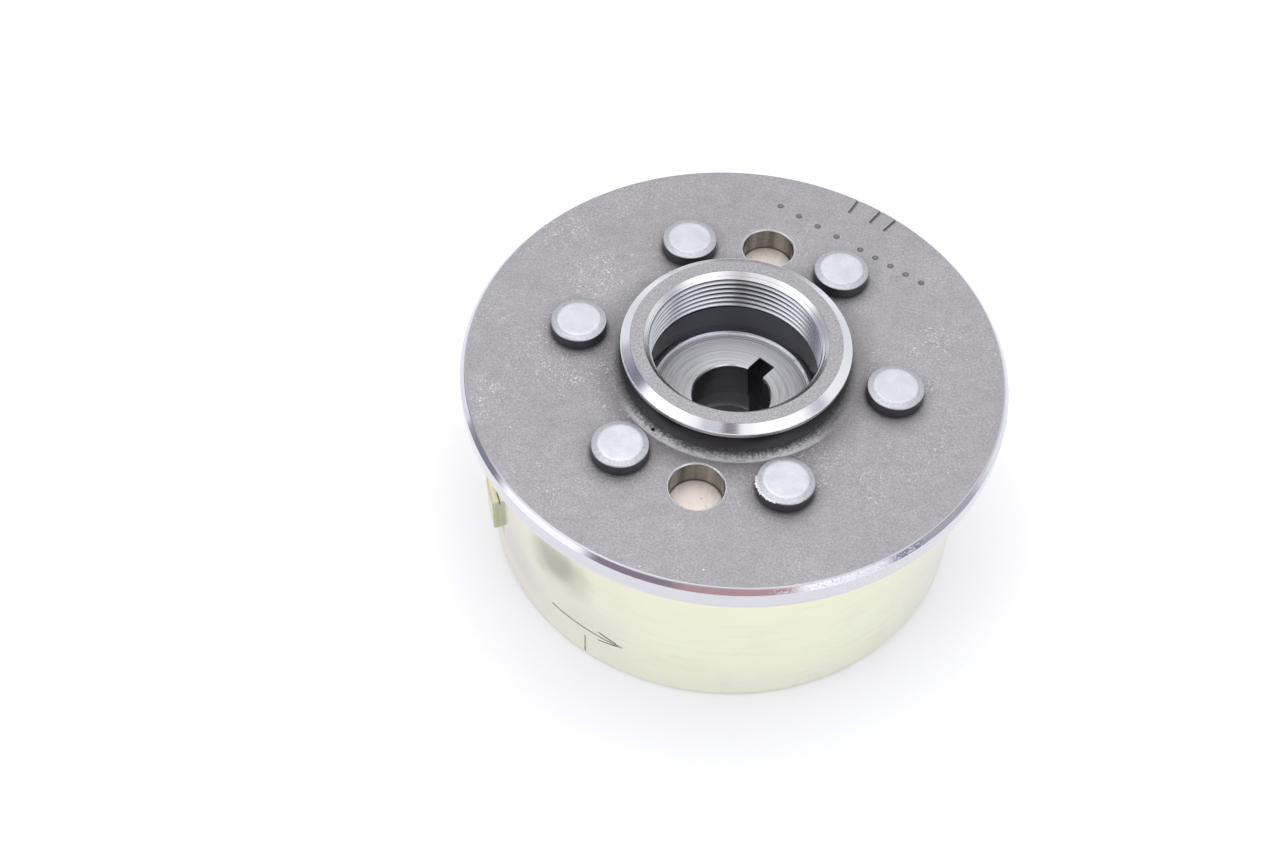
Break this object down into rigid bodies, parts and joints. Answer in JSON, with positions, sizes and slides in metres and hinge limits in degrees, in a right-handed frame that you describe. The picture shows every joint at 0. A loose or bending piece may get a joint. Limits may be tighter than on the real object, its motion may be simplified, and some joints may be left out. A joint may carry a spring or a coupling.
{
  "type": "flywheel",
  "caption": "Magneto flywheel: disc with a taper hub and puller thread, riveted to a plated cup that holds arc magnets, with a trigger bar on the cup.",
  "frame": {"origin": "on the crankshaft axis, in the plane of the cup's open rim", "axes": "+Z along the crankshaft axis towards the crankshaft nut, +X through one rivet, two plain holes on +Y and -Y"},
  "size_m": [0.084, 0.084, 0.0408],
  "materials": {
    "hub_steel": "grit-blasted grey face, bright turned ring, bevel and recess",
    "cup_zinc": "yellow passivated zinc plate over drawn steel, glossy, faintly iridescent",
    "trigger_zinc": "yellow passivated zinc plate",
    "liner_stainless": "drawn stainless, satin",
    "stop_plastic": "black moulded polyamide",
    "keeper_aluminium": "turned aluminium",
    "rivet_steel": "cold-formed bare steel, bright worn top",
    "ferrite": "sintered ferrite, dull dark grey",
    "spacer_plastic": "black moulded polyamide"
  },
  "bodies": {
    "root": {"flange_hub": "hub_steel", "rotor_cup": "cup_zinc", "trigger_bar": "trigger_zinc", "magnet_liner": "liner_stainless", "magnet_stop_ring": "stop_plastic", "magnet_keeper_ring": "keeper_aluminium", "rivet_1": "rivet_steel", "magnet_1": "ferrite", "magnet_spacer_1": "spacer_plastic", "rivet_2": "rivet_steel", "magnet_2": "ferrite", "magnet_spacer_2": "spacer_plastic", "rivet_3": "rivet_steel", "magnet_3": "ferrite", "magnet_spacer_3": "spacer_plastic", "rivet_4": "rivet_steel", "magnet_4": "ferrite", "magnet_spacer_4": "spacer_plastic", "rivet_5": "rivet_steel", "magnet_5": "ferrite", "magnet_spacer_5": "spacer_plastic", "rivet_6": "rivet_steel", "magnet_6": "ferrite", "magnet_spacer_6": "spacer_plastic"}
  },
  "joints": []
}
